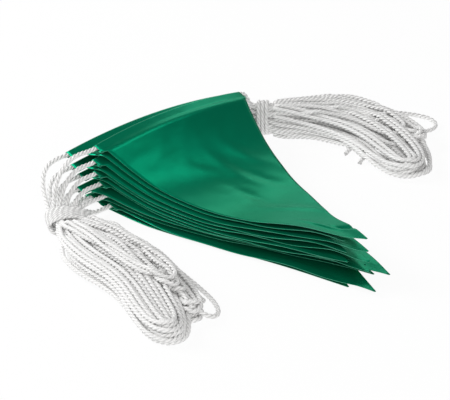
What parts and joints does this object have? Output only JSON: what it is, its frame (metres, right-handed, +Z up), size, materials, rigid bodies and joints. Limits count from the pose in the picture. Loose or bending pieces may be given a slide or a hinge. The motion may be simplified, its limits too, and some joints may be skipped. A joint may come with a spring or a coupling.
{
  "type": "flag bunting",
  "caption": "Packed flag bunting: a stack of triangular film flags on one rope, the rope between them gathered into a tied hank at each end.",
  "frame": {"origin": "the middle of the whole bunting, on the surface that it lies on", "axes": "+X along the headings towards the short hank at the right, -Y towards the flags' tips, +Z up"},
  "size_m": [0.5145, 0.3528, 0.068],
  "materials": {
    "film": "smooth glossy green film with soft creases",
    "rope": "white three-strand twisted rope, slightly satin"
  },
  "bodies": {
    "root": {"flag_01": "film", "flag_02": "film", "flag_03": "film", "flag_04": "film", "flag_05": "film", "flag_06": "film", "flag_07": "film", "flag_08": "film", "flag_09": "film", "flag_10": "film", "flag_11": "film", "flag_12": "film", "rope_01": "rope", "rope_02": "rope", "rope_03": "rope", "rope_04": "rope", "rope_05": "rope", "rope_06": "rope", "rope_07": "rope", "rope_08": "rope", "rope_09": "rope", "rope_10": "rope", "rope_11": "rope", "rope_12": "rope", "hank_left": "rope", "hank_right": "rope", "tie_left": "rope", "tie_right": "rope"}
  },
  "joints": []
}
